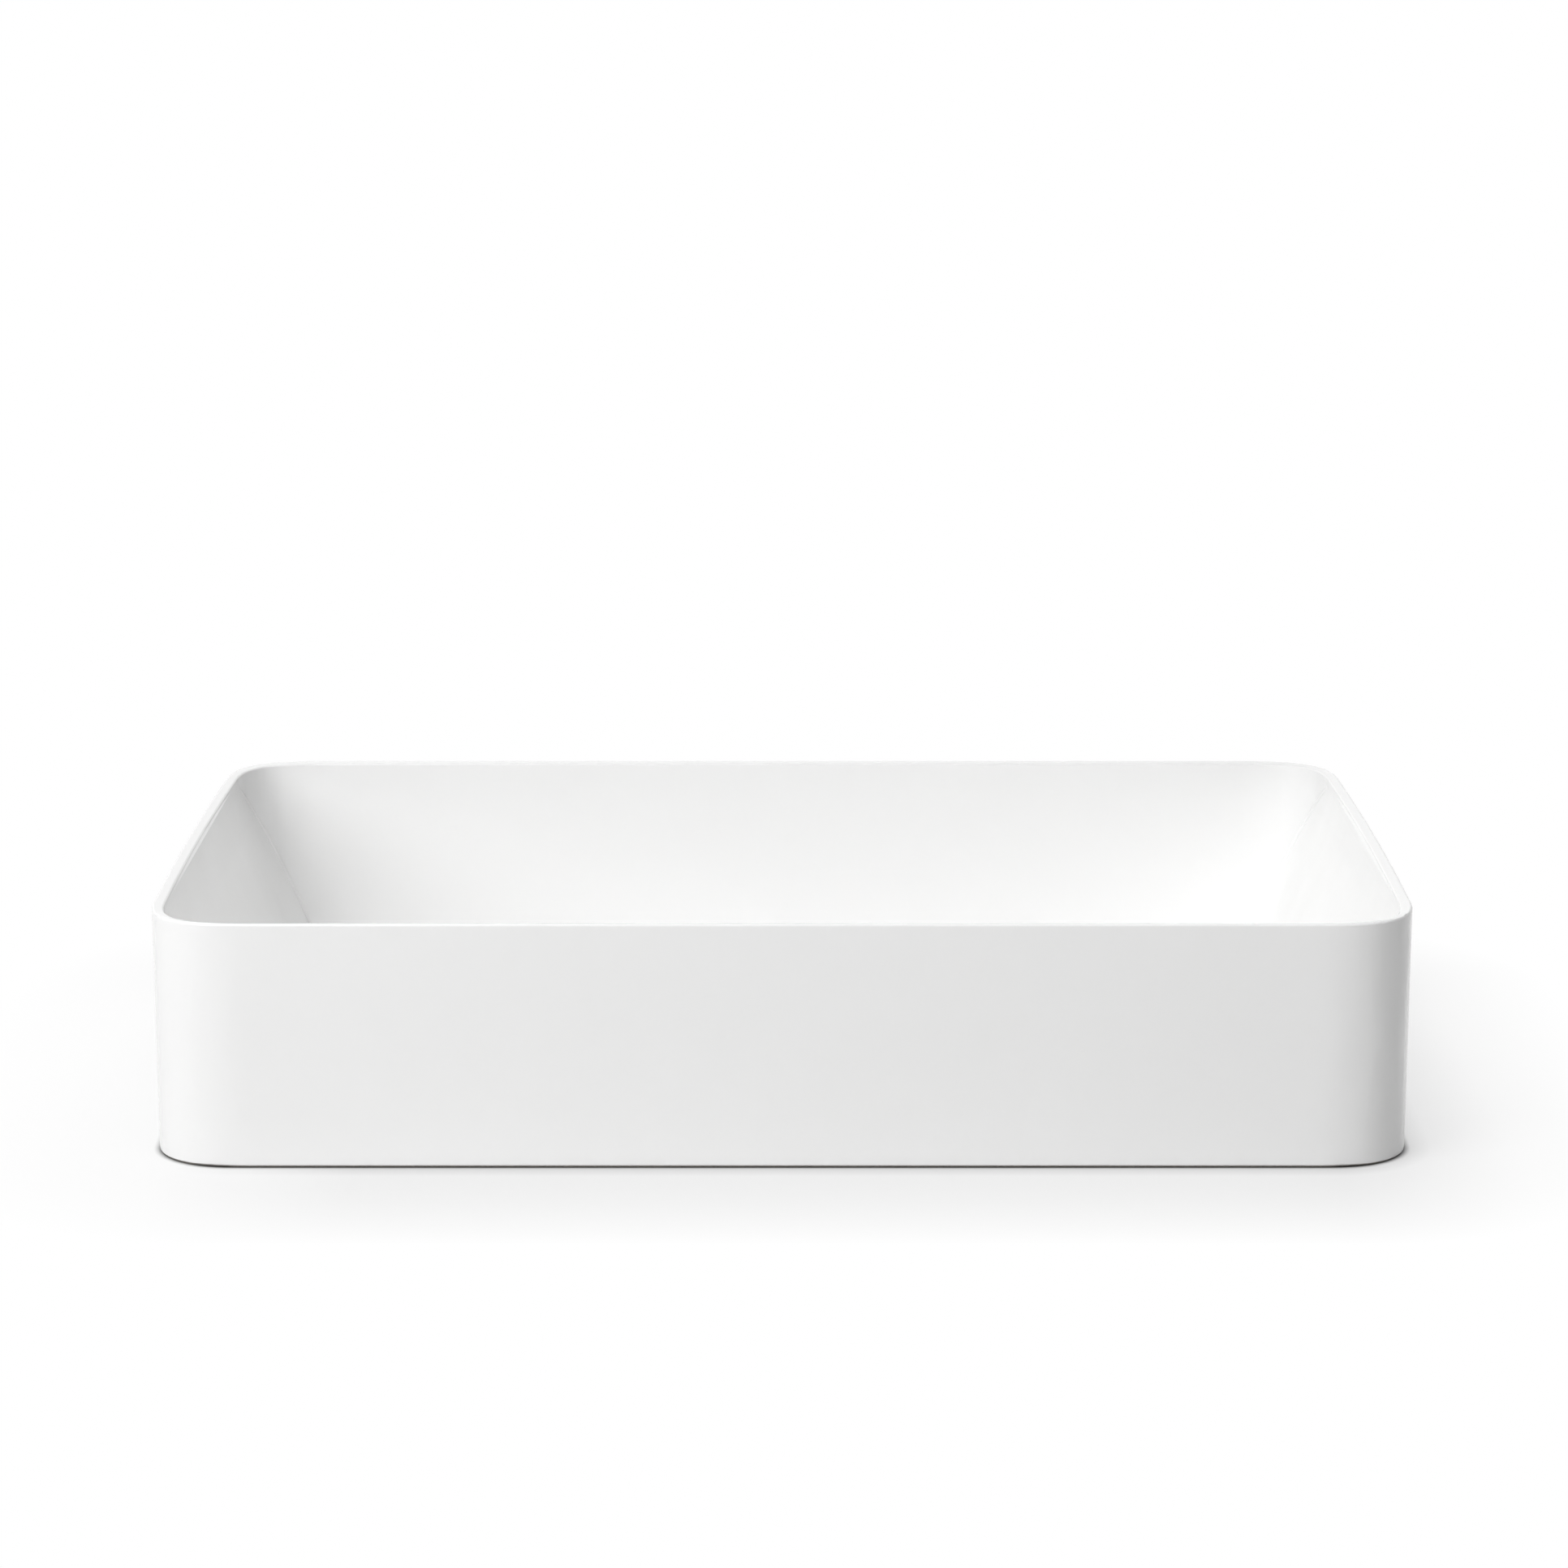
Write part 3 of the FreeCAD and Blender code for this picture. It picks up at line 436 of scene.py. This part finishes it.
def slope_rim(bowl):
    """Lets the top of the rim fall a little towards the water, as it does on a cast bowl."""
    inner = set()
    for face in bowl.faces:
        middle = face.calc_center_median()
        looks_in = face.normal.x * middle.x + face.normal.y * middle.y < INWARD
        if looks_in and all(corner.co.z > RIM_LOW for corner in face.verts):
            inner.update(face.verts)
    for corner in inner:
        corner.co.z -= RIM_FALL


def is_crease(edge):
    """Whether an end wall, which runs straight from front to back, meets a corner wall here."""
    middle = (edge.verts[0].co + edge.verts[1].co) / 2
    if len(edge.link_faces) != 2 or not CREASE_HEIGHTS[0] < middle.z < CREASE_HEIGHTS[1]:
        return False
    end, corner = sorted((face.normal for face in edge.link_faces), key=lambda way: abs(way.y))
    faces_water = end.x * middle.x < 0 and corner.y * middle.y < 0
    return faces_water and abs(end.y) < END_WALL_TURN and abs(corner.y) > CORNER_WALL_TURN


def bead_creases(bowl):
    """Runs a low glazed bead up the four creases between the end walls and the corners."""
    creases = [edge for edge in bowl.edges if is_crease(edge)]
    strip = bmesh.ops.bevel(bowl, geom=creases, offset=BEAD_HALF_WIDTH, offset_type="OFFSET",
                            segments=2, profile=0.5, affect="EDGES", clamp_overlap=False)
    faces = set(strip["faces"])
    bowl.normal_update()
    for corner in strip["verts"]:
        if all(face in faces for face in corner.link_faces):
            foot = (corner.co.z - BEAD_FOOT[0]) / (BEAD_FOOT[1] - BEAD_FOOT[0])
            head = (BEAD_HEAD[1] - corner.co.z) / (BEAD_HEAD[1] - BEAD_HEAD[0])
            corner.co += corner.normal * BEAD_HEIGHT * min(1.0, max(0.0, min(foot, head)))
    for face in faces:
        face.smooth = True
        for edge in face.edges:
            edge.smooth = all(other in faces for other in edge.link_faces)
    bmesh.ops.remove_doubles(bowl, verts=bowl.verts, dist=SLIVER)
    bmesh.ops.dissolve_degenerate(bowl, edges=bowl.edges, dist=SLIVER)


def even_shading(bowl):
    """Keeps the large flat faces evenly shaded up to the bead and the rounded edges."""
    weighted = bowl.modifiers.new("even_shading", "WEIGHTED_NORMAL")
    weighted.keep_sharp = True
    weighted.weight = EVEN_SHADING
    bpy.ops.object.modifier_apply(modifier=weighted.name)


def squeeze_spring(spring):
    """Gives the spring a mesh of its own."""
    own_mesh(spring)


def dress(finishes):
    """Replaces every CAD node by its smooth copy, with the finish of its slot."""
    body_of = {node: body for body, nodes in frame["record"]["behaviour"]["bodies"].items()
               for node in nodes}
    for part in frame["record"]["subparts"]:
        node = part["node"]
        piece = smooth_copy(node)
        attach(piece, body_of[node])
        if node == "return_spring":
            squeeze_spring(piece)
        piece.data.materials.clear()
        piece.data.materials.append(finishes[part["material_slot"]])


# ---- stage ----
def make_floor():
    bpy.ops.object.select_all(action="DESELECT")
    bpy.ops.mesh.primitive_plane_add(size=FLOOR_SIZE, location=(0, 0, 0))
    floor = bpy.context.object
    floor.name = "studio_floor"
    floor.data.materials.append(floor_finish())


def make_world():
    """White to the eye and in reflections; all other light comes from the lamps."""
    t = Tree(bpy.data.worlds.new("studio"))
    bpy.context.scene.world = t.owner
    dark = t.add("ShaderNodeBackground", {}, (0, 0, 0, 1), 0.0)
    white = t.add("ShaderNodeBackground", {}, (1, 1, 1, 1), 1.0)
    sky = t.add("ShaderNodeMixShader", {}, seen_rays(t), dark, white)
    t.add("ShaderNodeOutputWorld", {}, sky)


def make_lamps():
    for name, azimuth, elevation, watts, mirrored in LAMPS:
        lamp = bpy.data.lights.new(name, "AREA")
        lamp.shape = "DISK"
        lamp.size = LAMP_SIZE
        lamp.energy = watts
        around = math.radians(azimuth)
        up = math.radians(elevation)
        flat = math.cos(up)
        way = Vector((-math.sin(around) * flat, -math.cos(around) * flat, math.sin(up)))
        holder = bpy.data.objects.new(name, lamp)
        holder.location = way * LAMP_DISTANCE
        holder.visible_glossy = mirrored
        holder.rotation_euler = way.to_track_quat("Z", "Y").to_euler()
        bpy.context.collection.objects.link(holder)


def make_camera():
    camera = bpy.data.cameras.new("camera")
    camera.sensor_width = SENSOR_WIDTH
    camera.lens = SENSOR_WIDTH * FOCAL_PIXELS / PICTURE_WIDTH
    holder = bpy.data.objects.new("camera", camera)
    holder.location = CAMERA_PLACE
    holder.rotation_euler = (math.pi / 2 - CAMERA_TILT, 0, 0)
    bpy.context.collection.objects.link(holder)
    bpy.context.scene.camera = holder


FINISHES = {
    "glaze": glaze(),
    "plated_brass": chrome(),
    "raw_brass": turned_brass(),
    "rubber": rubber("black_rubber", BLACK_RUBBER),
    "foam_seal": rubber("foam_seal", PALE_RUBBER),
    "white_plastic": moulded("white_plastic", WHITE_PLASTIC),
    "nut_plastic": moulded("nut_plastic", BLACK_PLASTIC),
    "cartridge_plastic": moulded("cartridge_plastic", GREY_PLASTIC),
    "drum_plastic": moulded("drum_plastic", NATURAL_PLASTIC),
    "steel": steel(),
}
dress(FINISHES)
make_floor()
make_world()
make_lamps()
make_camera()
bpy.context.scene.view_settings.view_transform = "Standard"
